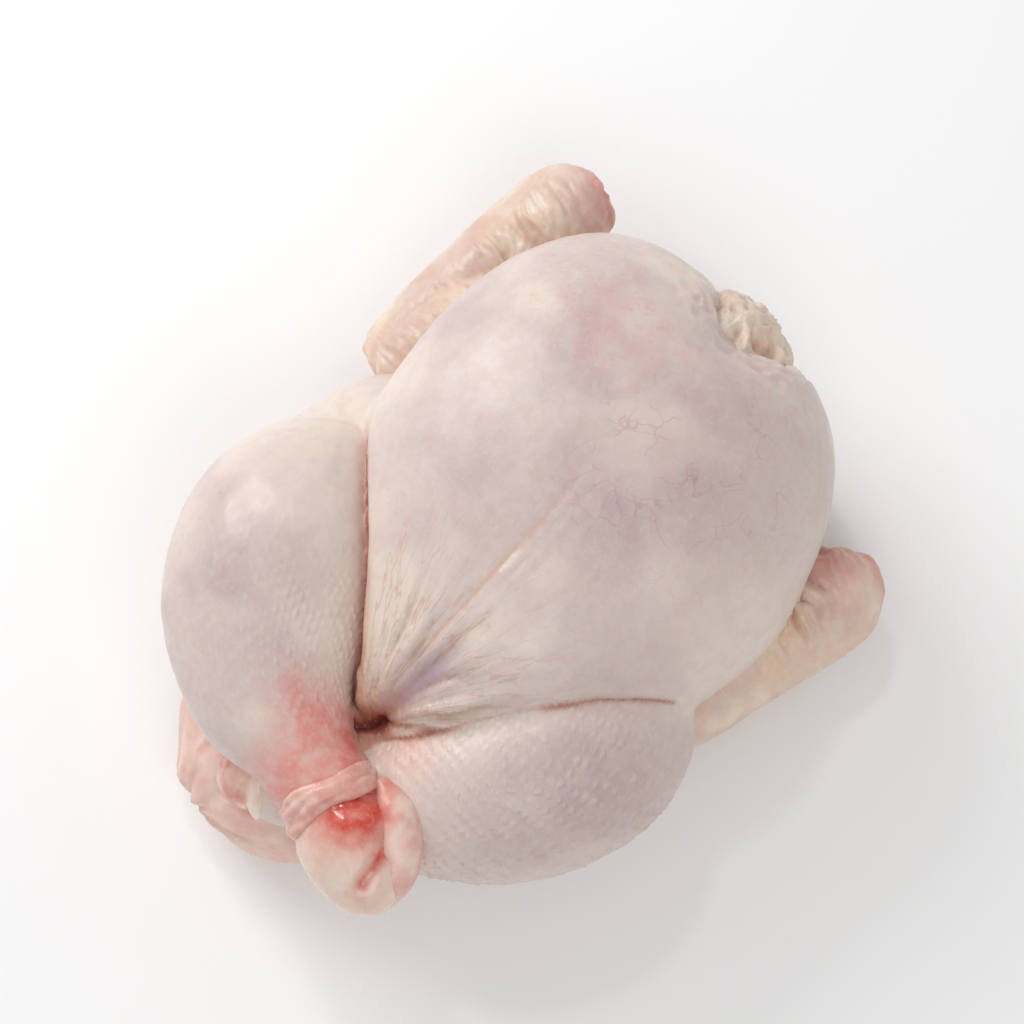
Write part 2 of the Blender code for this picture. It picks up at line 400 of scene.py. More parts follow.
def surface_of(obj):
    """The object's mesh with its modifiers, as a Surface. The object is removed."""
    graph = bpy.context.evaluated_depsgraph_get()
    mesh = obj.evaluated_get(graph).to_mesh()
    mesh.calc_loop_triangles()
    at = np.empty(3 * len(mesh.vertices))
    mesh.vertices.foreach_get("co", at)
    faces = np.empty(3 * len(mesh.loop_triangles), dtype=np.int32)
    mesh.loop_triangles.foreach_get("vertices", faces)
    surface = Surface(at.reshape(-1, 3), faces.reshape(-1, 3))
    bpy.data.objects.remove(obj, do_unlink=True)
    return surface


def with_modifiers(surface, name):
    obj = bpy.data.objects.new(name, mesh_of(surface, name))
    bpy.context.scene.collection.objects.link(obj)
    return obj


def union(parts, voxel):
    """One skin over several closed shapes."""
    start = 0
    at, faces = [], []
    for part in parts:
        at.append(part.at)
        faces.append(part.faces + start)
        start += len(part.at)
    obj = with_modifiers(Surface(np.vstack(at), np.vstack(faces)), "union")
    remesh = obj.modifiers.new("one_skin", "REMESH")
    remesh.mode = "VOXEL"
    remesh.voxel_size = voxel
    return surface_of(obj)


def thinned(surface, keep, limit):
    """Fewer faces where keep is 0 and all of them where it is 1, down to the limit."""
    if len(surface.faces) <= limit:
        return surface
    obj = with_modifiers(surface, "thinned")
    group = obj.vertex_groups.new(name="thin")
    group.add(np.flatnonzero(keep < 0.5).tolist(), 1.0, "REPLACE")
    decimate = obj.modifiers.new("thin", "DECIMATE")
    decimate.ratio = limit / len(surface.faces)
    decimate.vertex_group = "thin"
    return surface_of(obj)


# ---------------------------------------------------------------- fields over the bird


def noise(points, size, seed=0):
    """Smooth values from 0 to 1 that change over about the given size."""
    p = np.asarray(points) / size + 17.31 * (seed + 1)
    cell = np.floor(p).astype(np.int64)
    t = p - cell
    t = t * t * (3 - 2 * t)
    total = np.zeros(len(p))
    for corner in itertools.product((0, 1), repeat=3):
        c = cell + corner
        h = (c[:, 0] * 73856093) ^ (c[:, 1] * 19349663) ^ (c[:, 2] * 83492791)
        h = (h ^ (h >> 13)) * 1274126177
        value = ((h ^ (h >> 16)) & 0xFFFF) / 0xFFFF
        total += value * np.prod(np.where(corner, t, 1 - t), axis=1)
    return total


def layered(points, size, seed=0, layers=3):
    total = sum(noise(points, size / 2**i, seed + 5 * i) / 2**i for i in range(layers))
    return total / sum(1 / 2**i for i in range(layers))


def ridged(points, size, seed, layers, depth):
    """1 along wandering ridges, falling to 1 - depth in the valleys between them."""
    return 1 - depth * np.abs(2 * layered(points, size, seed, layers) - 1)


def ramp(values, low, high):
    """0 below low and 1 above high, smooth between. Low may be the larger."""
    t = np.clip((values - low) / (high - low), 0, 1)
    return t * t * (3 - 2 * t)


def bell(values, width):
    return np.exp(-((values / width) ** 2))


def spot(points, centre, radius):
    """1 at the centre, fading over the radius. A centre of two numbers is measured in plan."""
    centre = np.array(centre, float)
    return bell(np.linalg.norm(points[:, : len(centre)] - centre, axis=1), radius)


def patches(points, spots):
    """The strongest of several spots at each point."""
    return np.max([strength * spot(points, centre, radius) for centre, radius, strength in spots], axis=0)


class Trace(NamedTuple):
    """How each point lies to a line in plan: distance, distance to its left, and way along from 0 to 1."""

    away: np.ndarray
    side: np.ndarray
    along: np.ndarray


def trace(points, line):
    line = np.array(line, float)
    lengths = np.linalg.norm(np.diff(line, axis=0), axis=1)
    starts = np.concatenate([[0], np.cumsum(lengths)])
    best = np.full(len(points), 1e9)
    side = np.zeros(len(points))
    along = np.zeros(len(points))
    for a, b, length, start in zip(line, line[1:], lengths, starts):
        way = (b - a) / length
        rel = points[:, :2] - a
        t = np.clip(rel @ way, 0, length)
        gap = rel - t[:, None] * way
        d = np.linalg.norm(gap, axis=1)
        closer = d < best
        best = np.where(closer, d, best)
        side = np.where(closer, np.sign(way[0] * gap[:, 1] - way[1] * gap[:, 0]) * d, side)
        along = np.where(closer, (start + t) / starts[-1], along)
    return Trace(best, side, along)


class Around(NamedTuple):
    """How each point lies to a limb's line: way along it, turn round it from its top, and distance."""

    along: np.ndarray
    turn: np.ndarray
    radius: np.ndarray


def around(points, sections):
    rows = spline(sections, 2.0)[:, :3]
    run = np.concatenate([[0], np.cumsum(np.linalg.norm(np.diff(rows, axis=0), axis=1))])
    tangents = np.gradient(rows, axis=0)
    tangents /= np.linalg.norm(tangents, axis=1)[:, None]
    nearest = np.argmin(((points[:, None, :] - rows[None]) ** 2).sum(axis=2), axis=1)
    rel = points - rows[nearest]
    way = tangents[nearest]
    ahead = (rel * way).sum(axis=1)
    side = np.cross((0, 0, 1), way)
    side /= np.linalg.norm(side, axis=1)[:, None]
    up = np.cross(way, side)
    x, y = (rel * side).sum(axis=1), (rel * up).sum(axis=1)
    return Around(run[nearest] + ahead, np.arctan2(x, y), np.hypot(x, y))


def beyond(points, part):
    """Each point's distance outside the closed part, less than 0 inside it."""
    tree = part.tree()
    made = np.empty(len(points))
    for i, point in enumerate(points.tolist()):
        where, normal, _, distance = tree.find_nearest(point)
        out = sum((a - b) * c for a, b, c in zip(point, where, normal))
        made[i] = distance if out > 0 else -distance
    return made


def follicles(place, spacing, seed):
    """Small rounded bumps in slanting rows along a limb, from 0 to 1."""
    u = place.along / spacing
    v = place.turn * np.median(place.radius) / spacing
    p = np.stack([u, v, np.zeros_like(u)], axis=1)
    u = u + 0.5 * noise(p, 2.3, seed)
    v = v + 0.5 * noise(p, 2.3, seed + 1)
    rows = (0.3, 0.3 + 2.094, 0.3 + 4.189)
    waves = sum(np.cos(2 * math.pi * (math.cos(t) * u + math.sin(t) * v)) for t in rows)
    strength = ramp(noise(p, 1.4, seed + 2), 0.15, 0.7)
    return ramp(waves, 0.3, 2.9) * strength


# ---------------------------------------------------------------- the bird's skin


def make_skin():
    torso = loft(torso_rings())
    legs = {
        "right_leg": limb(RIGHT_LEG),
        "left_leg": limb(LEFT_LEG),
        "right_thigh": limb(RIGHT_THIGH),
        "left_thigh": limb(LEFT_THIGH),
    }
    # The breast turns down where the drumsticks press on it, but not at the web of skin over each knee.
    p = torso.at
    near_vent = ramp(np.hypot(p[:, 0] - VENT[0], p[:, 1] - VENT[1]), 105, 15)
    web = np.clip(spot(p, (12, 80), 17) + spot(p, (10, -78), 12), 0, 1)
    middle = bell(trace(p, LEFT_CREASE[1:5]).away, 10)
    for name, shallow, deep, narrow, wide in SINKS:
        gap = np.clip(beyond(p, legs[name]), 0, None)
        depth = shallow + (deep - shallow) * near_vent
        if name == "left_leg":
            depth = depth * (1 - 0.75 * middle)
        torso.push(-depth * bell(gap, narrow + (wide - narrow) * near_vent) * (1 - web))
    skin = union([torso, *legs.values(), limb(VENT_FLOOR)], SKIN_VOXEL)
    skin = thinned(skin, ramp(skin.at[:, 2], 18, 26), SKIN_FACES)
    p = skin.at
    gaps = {name: beyond(p, part) for name, part in legs.items()}
    torso_gap = np.abs(beyond(p, torso))
    on_torso = ramp(np.minimum(gaps["right_leg"], gaps["left_leg"]), 0.3, 1.6)
    on_torso = on_torso * ramp(p[:, 2], 30, 45)
    right = ramp(gaps["right_leg"], 1.2, 0.2)
    left = ramp(gaps["left_leg"], 1.2, 0.2) * (1 - right)
    right_crease = trace(p, RIGHT_CREASE)
    left_crease = trace(p, LEFT_CREASE)
    keel = trace(p, KEEL_LINE)
    plan = np.hypot(p[:, 0] - VENT[0], p[:, 1] - VENT[1])
    heading = np.degrees(np.arctan2(p[:, 1] - VENT[1], p[:, 0] - VENT[0]))

    # The web between the right knee and the breast, and the skin over the left knee.
    web = spot(p, (-4, 80, 60), 19) + 0.8 * spot(p, (6, -74, 60), 9)
    skin.smooth(70, np.clip(web * 1.5, 0, 1))
    valley = bell(left_crease.away, 9) * ramp(left_crease.along, 0.75, 0.5)
    skin.smooth(14, np.clip(valley, 0, 1))
    skin.smooth(3, 0.6)

    # The keel: a thin raised line with a shallow dent along either side.
    keel_bend = 3.0 * (layered(p, 20, 7) - 0.5)
    rise = 0.55 * bell(keel.side + keel_bend - 1.0, 1.4) + 0.45 * bell(keel.side + keel_bend - 5.0, 1.1)
    rise -= 0.8 * bell(keel.side + keel_bend + 2.2, 1.5)
    rise = rise * (0.35 + 0.75 * ramp(layered(p, 11, 8), 0.35, 0.6))
    skin.push(rise * ramp(keel.along, 0.25, 0.5) * ramp(keel.along, 0.95, 0.7) * on_torso)

    right_gap = np.clip(gaps["right_leg"], 0, None)
    left_gap = np.clip(gaps["left_leg"], 0, None)
    right_zone = ramp(right_crease.away, 18, 10) * ramp(right_crease.along, 0.12, 0.34)
    left_zone = np.maximum(ramp(left_crease.along, 0.34, 0.2), ramp(left_crease.along, 0.5, 0.58))
    left_zone = left_zone * ramp(left_crease.away, 12, 7) * ramp(left_crease.along, 1.0, 0.95)
    right_meeting = bell(np.maximum(np.abs(gaps["right_leg"]), torso_gap), 2.6) * right_zone
    left_meeting = bell(np.maximum(np.abs(gaps["left_leg"]), torso_gap), 1.5) * left_zone

    # The vent: a deep pit, with folds of tight skin that fan out from it over the belly.
    slit = trace(p, SLIT_LINE).away
    pit = 3.4 * bell(slit, 1.8)
    folds = np.zeros(len(p))
    bend = 9.0 * (layered(p, 24, 3) - 0.5)
    spokes = np.stack([heading / 4.2, 9 * np.log(plan + 3), np.zeros(len(p))], axis=1)
    ribs = 0.8 * ridged(spokes / (1, 5, 1), 1.0, 6, 2, 2.2) * ramp(plan, 70, 20) * ramp(plan, 2, 8)
    for turn, reach, height in VENT_FOLDS:
        offset = np.radians(heading - turn) * plan + bend * plan / 50
        width = 0.8 + plan / 38
        fade = ramp(plan, reach, 0.3 * reach) * ramp(plan, 2, 9)
        crest = bell(offset - 0.9 * width, width) - 0.9 * bell(offset + width, 0.8 * width)
        folds += height * crest * fade
    folds = 1.35 * folds + ribs
    hollow = bell(trace(p, HOLLOW_LINE).away, 4.5) * ramp(plan, 46, 20) * on_torso
    skin.push(folds * on_torso * (1 - 0.7 * hollow) - 2.2 * hollow - pit * (1 - right))
    valley = np.clip(-folds * on_torso * 0.7, 0, 1)

    # Follicles on the drumsticks, and the skin's own slight unevenness.
    p = skin.at
    right_place = around(p, RIGHT_LEG)
    left_place = around(p, LEFT_LEG)
    patch = spot(p, (-70, 24), 34)
    pores = follicles(right_place, 4.6, 11) * patch * right
    bumps = 0.75 * pores
    patch = ramp(left_place.along, 5, 30) * ramp(left_place.along, 125, 105)
    left_pores = follicles(left_place, 4.3, 15) * patch * left
    bumps += 0.8 * left_pores
    skin.masks["pores"] = np.clip(pores + left_pores, 0, 1)
    neck_zone = ramp(p[:, 0], 90, 103) * ramp(p[:, 2], 48, 62) * ramp(p[:, 2], 108, 98)
    neck_zone = neck_zone * ramp(np.abs(p[:, 1] + 6), 34, 18)
    wrinkle = ridged(p * (0.6, 1.0, 1.0), 7.0, 24, 2, 2.2)
    bumps += 1.7 * wrinkle * neck_zone
    uneven = 1.3 * (layered(p, 30, 21) - 0.5) + 0.35 * (layered(p, 7, 22) - 0.5)
    skin.push(bumps + uneven * ramp(p[:, 2], 8, 25))
    skin.at[:, 2] = np.maximum(skin.at[:, 2], 0.0)

    # Masks for the colours.
    p = skin.at
    soft = layered(p, 22, 31)
    fine = layered(p, 6, 32)
    breast_side = 1 - np.maximum(right, left)
    # Painted shade: a dark brown line where each drumstick meets the breast, and along the vent slit.
    line = np.maximum(right_meeting, left_meeting)
    line = np.maximum(line, 0.8 * bell(slit, 5.0) * (1 - right) * (1 - 0.5 * left))
    # Painted shade: the vent slit, darkened from its own red.
    skin.masks["vent_shade"] = np.clip(1.2 * bell(slit, 2.4) * (1 - right), 0, 1) * ramp(p[:, 2], 40, 50)
    skin.masks["crease_shade"] = np.clip(1.15 * line, 0, 1)
    # Painted shade: tan beside the right drumstick's crease, widening towards the vent, along the left
    # crease, round the vent, in the fold valleys, in the dent beside the keel and in the neck's wrinkles.
    tan_shades = (
        1.4 * bell(right_gap, 3.0 + 5.0 * ramp(right_crease.along, 0.4, 0.9)) * right_zone,
        0.75 * bell(left_gap, 1.6) * ramp(left_crease.away, 9, 5) * (left_crease.along < 0.97),
        0.8 * bell(plan, 16),
        0.9 * valley,
        0.5 * bell(keel.side + keel_bend + 1.5, 1.0) * ramp(keel.along, 0.3, 0.5),
        0.5 * ramp(wrinkle, 0.2, -0.6) * neck_zone,
    )
    tan_shade = np.clip(1.25 * np.max(tan_shades, axis=0) * breast_side * (0.55 + 0.6 * fine), 0, 1)
    skin.masks["tan_shade"] = tan_shade * ramp(p[:, 2], 30, 45)
    fan_edge = trace(p, ((-80, 0), (-20, 22))).side
    skin.masks["tight"] = ramp(plan, 95, 15) * on_torso * ramp(fan_edge, 26, 12)
    mauves = (
        patches(p, BREAST_MAUVE) * on_torso,
        patches(p, RIGHT_LEG_MAUVE) * right,
        patches(p, LEFT_LEG_MAUVE) * left,
    )
    mauve = np.max(mauves, axis=0) * (0.6 + 0.5 * ramp(soft, 0.3, 0.6))
    fats = (
        0.8 * ramp(layered(p, 34, 33), 0.46, 0.64),
        patches(p, FAT),
        0.7 * spot(p, (-28, 40), 16) * on_torso,
        0.95 * bell(left_crease.away, 9) * left,
        0.6 * bell(right_crease.away, 5) * right,
    )
    fat = np.max(fats, axis=0)
    skin.masks["mauve"] = np.clip(mauve * (1 - 0.5 * fat), 0, 1)
    skin.masks["fat"] = np.clip(fat * (1 - 0.6 * mauve), 0, 1)
    blush = 0.8 * spot(p, (-85, 14), 10) * (0.5 + fine)
    blush += 1.1 * spot(p, (-86, -4), 10) + 0.9 * ramp(right_place.along, 104, 124) * right
    blush = blush * right + 0.35 * spot(p, (-96, 22, 18), 24) + 0.5 * spot(p, (-73, -22), 10) * left
    blush += 0.25 * spot(p, (80, 20), 30) * ramp(fine, 0.4, 0.7)
    skin.masks["blush"] = np.clip(blush, 0, 1)
    skin.masks["red"] = np.clip(0.55 * spot(p, (-87, -9, 80), 7) * (0.4 + fine) * right, 0, 1)
    wet = 1.2 * spot(p, (-52, -14), 28) + 0.7 * bell(keel.away, 9) * ramp(keel.along, 0.3, 0.5)
    skin.masks["wet"] = np.clip(wet * on_torso + 0.6 * left * spot(p, (-60, -50), 26) + 0.4 * right, 0, 1)
    skin.masks["membrane"] = np.clip(1.2 * hollow, 0, 1)
    skin.masks["dots"] = np.clip(spot(p, (84, 26), 26) + 0.4 * spot(p, (60, 60), 26), 0, 1) * on_torso
    skin.masks["veins"] = np.clip(spot(p, (42, -20), 34) + 0.5 * spot(p, (70, -40), 26), 0, 1) * on_torso
    return skin


# ---------------------------------------------------------------- the other pieces


def make_wing(arm, forearm, hand, seed, inner_turn, flushed):
    parts = [limb(sections, step=1.2, count=64) for sections in (arm, forearm, hand)]
    wing = union(parts, FINE_VOXEL)
    wing.smooth(6)
    place = around(wing.at, forearm)
    p = wing.at
    length = place.along.max()
    way = place.along / length
    inner = ramp(np.cos(place.turn - inner_turn), -0.1, 0.8)
    sheet = np.stack([place.along, place.turn * 6.0, place.radius * 0.2], axis=1)
    sheet[:, 0] += 9.0 * (layered(p, 15, seed) - 0.5)
    pleat = ridged(sheet / (1, 2.6, 1), 3.4, seed + 8, 3, 2.2)
    depth = 0.45 + 1.1 * bell(way - 0.7, 0.2) * ramp(layered(p, 12, seed + 3), 0.25, 0.6)
    pores = follicles(place, 3.4, seed + 6) * (1 - inner)
    wing.push(2.8 * pleat * depth * inner + 0.35 * pores, blur=1)
    lumps = layered(wing.at, 5, seed + 2) - 0.5
    wing.push(1.6 * (layered(wing.at, 16, seed + 1) - 0.5) + 0.8 * lumps * inner)
    wing.at[:, 2] = np.maximum(wing.at[:, 2], 0.0)
    p = wing.at
    pink = 0.22 * ramp(layered(p, 18, seed + 4), 0.45, 0.7) * (1 - 0.6 * inner)
    blush = np.clip(0.95 * ramp(way, 0.88, 1.02) + pink, 0, 1)
    wing.masks["blush"] = np.maximum(blush, 0.9 * spot(p, flushed, 12))
    wing.masks["fat"] = np.clip(0.8 * ramp(layered(p, 9, seed + 5), 0.42, 0.66), 0, 1)
    # Painted shade in the pleats' valleys, darkest at their bottoms.
    wing.masks["tan_shade"] = np.clip(ramp(pleat, 0.2, -0.6) * depth * inner, 0, 1)
    wing.masks["crease_shade"] = np.clip(0.6 * ramp(pleat, -0.3, -0.9) * depth * inner, 0, 1)
    wing.masks["mauve"] = 0.35 * ramp(layered(p, 20, seed + 7), 0.4, 0.7)
    wing.masks["wet"] = np.full(len(p), 0.3)
    return wing


def make_tail():
    tail = union([limb(TAIL, step=1.2, count=90)], FINE_VOXEL)
    p = tail.at
    place = around(p, TAIL)
    sheet = np.stack([place.along / 5, place.turn * 16, place.radius * 0.2], axis=1)
    sheet[:, 1] += 7.0 * (layered(p, 26, 41) - 0.5)
    fold = ridged(sheet, 8.0, 42, 2, 2.4)
    tail.push(2.5 * fold * ramp(p[:, 2], 4, 18), blur=1)
    tail.push(1.5 * (layered(tail.at, 15, 43) - 0.5))
    tail.at[:, 2] = np.maximum(tail.at[:, 2], 0.0)
    p = tail.at
    # Painted shade in the folds' valleys.
    tail.masks["tan_shade"] = np.clip(0.7 * ramp(fold, 0.2, -0.6) * ramp(p[:, 2], 8, 20), 0, 1)
    tail.masks["blush"] = 0.35 * ramp(layered(p, 16, 44), 0.4, 0.7)
    tail.masks["fat"] = ramp(layered(p, 12, 45), 0.4, 0.7)
    tail.masks["wet"] = np.full(len(p), 0.5)
    return tail


def make_neck():
    neck = union([limb(NECK, step=1.0, count=80)], FINE_VOXEL)
    p = neck.at
    warp = np.stack([8 * (layered(p, 14, 50 + i) - 0.5) for i in range(3)], axis=1)
    fold = ridged(p * (0.5, 1.0, 0.8) + 1.4 * warp, 5.0, 53, 3, 2.2)
    recess = spot(p, (108, -12, 76), 6) + 0.7 * spot(p, (108, 10, 76), 5)
    neck.push(2.4 * fold + 3.4 * (layered(p, 12, 54) - 0.5) - 4.5 * recess)
    p = neck.at
    # Painted shade in the folds' valleys and in the pushed-in recess.
    neck.masks["tan_shade"] = np.clip(0.9 * ramp(fold, 0.2, -0.6) + 0.8 * recess, 0, 1)
    neck.masks["fat"] = 0.4 * ramp(layered(p, 8, 55), 0.45, 0.65)
    neck.masks["mauve"] = 0.3 * ramp(layered(p, 14, 56), 0.5, 0.7)
    neck.masks["wet"] = np.full(len(p), 0.3)
    return neck


def make_right_knuckle():
    knob = union([limb(RIGHT_KNUCKLE, step=1.0, count=72)], FINE_VOXEL)
    p = knob.at
    groove = bell(trace(p, ((-91, -36), (-101, -41), (-115, -43))).away, 2.2) * ramp(p[:, 2], 58, 66)
    lumps = 1.2 * (layered(p, 12, 61) - 0.5) + 0.5 * (layered(p, 4, 62) - 0.5)
    knob.push(lumps - 1.6 * groove, blur=1)
    p = knob.at
    knob.masks["red"] = np.clip(1.9 * spot(p, (-99, -24, 86), 11) + 0.9 * groove, 0, 1)
    knob.masks["fat"] = ramp(layered(p, 9, 63), 0.4, 0.65)
    pink = 0.7 * (layered(p, 9, 64) - 0.4) + 0.5 * spot(p, (-99, -24, 86), 15)
    knob.masks["blush"] = np.clip(pink, 0, 1)
    knob.masks["wet"] = np.ones(len(p))
    return knob


def make_left_knuckle():
    knob = union([limb(LEFT_KNUCKLE, step=1.0, count=64)], FINE_VOXEL)
    p = knob.at
    place = around(p, LEFT_KNUCKLE)
    end = place.along.max()
    face = ramp(place.along, end - 16, end - 13)
    rim = bell(place.along - (end - 17), 2.0)
    knob.push(1.4 * rim - 1.2 * face + 1.6 * (layered(p, 6, 71) - 0.5), blur=1)
    p = knob.at
    knob.masks["red"] = np.clip(face * (0.2 + 2.4 * (layered(p, 5, 72) - 0.5)), 0, 1)
    knob.masks["blush"] = 0.45 * face
    knob.masks["fat"] = np.clip(rim, 0, 1)
    knob.masks["wet"] = np.ones(len(p))
    return knob


def make_collar():
    """The drumstick's skin ends in a rolled, wavy edge round the ankle."""
    rows = spline(RIGHT_LEG, 1.0)
    here = rows[np.argmin(np.abs(rows[:, 1] + 15))]
    tangent = np.array((-0.25, -0.95, -0.05))
    tangent /= np.linalg.norm(tangent)
    side = np.cross((0, 0, 1), tangent)
    side /= np.linalg.norm(side)
    up = np.cross(tangent, side)
    rolls = []
    for k, (ahead, size, thick) in enumerate(COLLAR_ROLLS):
        turn = np.linspace(0, 2 * math.pi, 160, endpoint=False)
        wave = 1.0 * np.sin(2 * turn + 0.4 * k) + 0.5 * np.sin(5 * turn + 1.1 * k)
        swell = size + 0.7 * np.sin(3 * turn + 2 * k)
        middle = here[:3] + (ahead + wave)[:, None] * tangent
        out = np.cos(turn)[:, None] * side + np.sin(turn)[:, None] * up
        around_roll = np.linspace(0, 2 * math.pi, 20, endpoint=False)
        thickness = thick * (0.85 + 0.3 * np.sin(4 * turn + 3 * k))
        ring = (
            middle[:, None]
            + (swell[:, None] + thickness[:, None] * np.cos(around_roll))[..., None] * out[:, None]
            + (thickness[:, None] * np.sin(around_roll))[..., None] * tangent
        )
        n, m = ring.shape[:2]
        i, j = np.meshgrid(np.arange(n), np.arange(m), indexing="ij")
        a, b = i * m + j, ((i + 1) % n) * m + j
        c, d = ((i + 1) % n) * m + (j + 1) % m, i * m + (j + 1) % m
        halves = (np.stack(corners, -1).reshape(-1, 3) for corners in ((a, b, c), (a, c, d)))
        rolls.append(Surface(ring.reshape(-1, 3), np.vstack(list(halves))))
    collar = union(rolls, 0.6)
    collar.smooth(2)
    p = collar.at
    collar.push(0.8 * (layered(p, 4, 81) - 0.5))
    collar.masks["blush"] = np.clip(0.55 * ramp(layered(p, 7, 82), 0.3, 0.6) + 0.3, 0, 1)
    collar.masks["fat"] = ramp(layered(p, 5, 83), 0.45, 0.6)
    collar.masks["wet"] = np.ones(len(p))
    return collar


def make_flap():
    flap = union([limb(SKIN_FLAP, step=0.8, count=56)], FINE_VOXEL)
    p = flap.at
    flap.push(1.8 * (layered(p, 8, 91) - 0.5) + 0.7 * (layered(p, 3.5, 92) - 0.5), blur=1)
    p = flap.at
    rim = bell(trace(p, ((-86, -26), (-95, -33), (-108, -39), (-117, -42))).away, 3)
    flap.masks["red"] = 0.5 * rim
    flap.masks["blush"] = np.clip(0.45 * ramp(layered(p, 7, 93), 0.35, 0.6) + 0.1 + 0.4 * rim, 0, 1)
    flap.masks["fat"] = ramp(layered(p, 6, 94), 0.4, 0.65)
    flap.masks["wet"] = np.ones(len(p))
    return flap


# ---------------------------------------------------------------- materials


def paint(*display):
    """A display colour, 0 to 255, as the linear colour that Blender's sockets hold."""
    parts = (c / 255 for c in display)
    return (*(c / 12.92 if c <= 0.04045 else ((c + 0.055) / 1.055) ** 2.4 for c in parts), 1.0)


SKIN = paint(221, 207, 200)
THIN_SKIN = paint(190, 166, 166)
FATTY_SKIN = paint(238, 224, 208)
TAIL_SKIN = paint(238, 206, 192)
WING_SKIN = paint(228, 203, 181)
NECK_SKIN = paint(232, 216, 198)
CARTILAGE = paint(236, 214, 196)
BLUSH = paint(216, 140, 130)
BLOOD = paint(210, 60, 42)
CREASE_SHADE = paint(158, 62, 36)
VENT_SHADE_RED = paint(104, 32, 28)
TAN_SHADE = paint(192, 139, 99)
MEMBRANE = paint(182, 156, 174)
VEIN = paint(180, 112, 134)


class Nodes:
    """Short ways to add and join shader nodes."""

    def __init__(self, material):
        material.use_nodes = True
        self.tree = material.node_tree
        self.shader = self.tree.nodes["Principled BSDF"]

    def add(self, kind, inputs=(), **settings):
        node = self.tree.nodes.new(kind)
        for key, value in settings.items():
            setattr(node, key, value)
        for key, value in dict(inputs).items():
            self.put(node.inputs[key], value)
        return node

    def put(self, socket, value):
        if isinstance(value, bpy.types.NodeSocket):
            self.tree.links.new(value, socket)
        else:
            socket.default_value = value

    def mask(self, name):
        return self.add("ShaderNodeAttribute", attribute_name=name).outputs["Fac"]

    def texture(self, size_mm, detail=2.0, offset=0.0, rough=0.5):
        """Noise that changes over about size_mm, from 0 to 1."""
        place = self.add("ShaderNodeTexCoord").outputs["Object"]
        moved = self.add("ShaderNodeMapping", {"Vector": place, "Location": (offset, offset, 0)}).outputs[0]
        settings = {"Vector": moved, "Scale": 1 / (size_mm * 0.001), "Detail": detail, "Roughness": rough}
        return self.add("ShaderNodeTexNoise", settings).outputs["Fac"]

    def polar(self, centre):
        """The turn and the distance of each point from a place in plan, given in drawing units."""
        away = Vector((*((centre - MIDDLE[:2]) * UNIT), 0.0))
        place = self.add("ShaderNodeTexCoord").outputs["Object"]
        settings = {"Vector": place, "Location": -away, "Scale": (1, 1, 0)}
        moved = self.add("ShaderNodeMapping", settings).outputs[0]
        parts = self.add("ShaderNodeSeparateXYZ", {"Vector": moved})
        turn = self.math("ARCTAN2", parts.outputs["Y"], parts.outputs["X"])
        return turn, self.add("ShaderNodeVectorMath", {0: moved}, operation="LENGTH").outputs["Value"]

    def math(self, what, a, b=0.0, clamp=False):
        return self.add("ShaderNodeMath", {0: a, 1: b}, operation=what, use_clamp=clamp).outputs[0]

    def times(self, a, b):
        return self.math("MULTIPLY", a, b)

    def stretch(self, value, low, high, to_low=0.0, to_high=1.0):
        made = self.add(
            "ShaderNodeMapRange",
            {"Value": value, "From Min": low, "From Max": high, "To Min": to_low, "To Max": to_high},
            interpolation_type="SMOOTHSTEP",
        )
        return made.outputs[0]

    def mix(self, factor, a, b, way="MIX"):
        made = self.add("ShaderNodeMix", data_type="RGBA", blend_type=way)
        self.put(made.inputs[0], factor)
        self.put(made.inputs[6], a)
        self.put(made.inputs[7], b)
        return made.outputs[2]


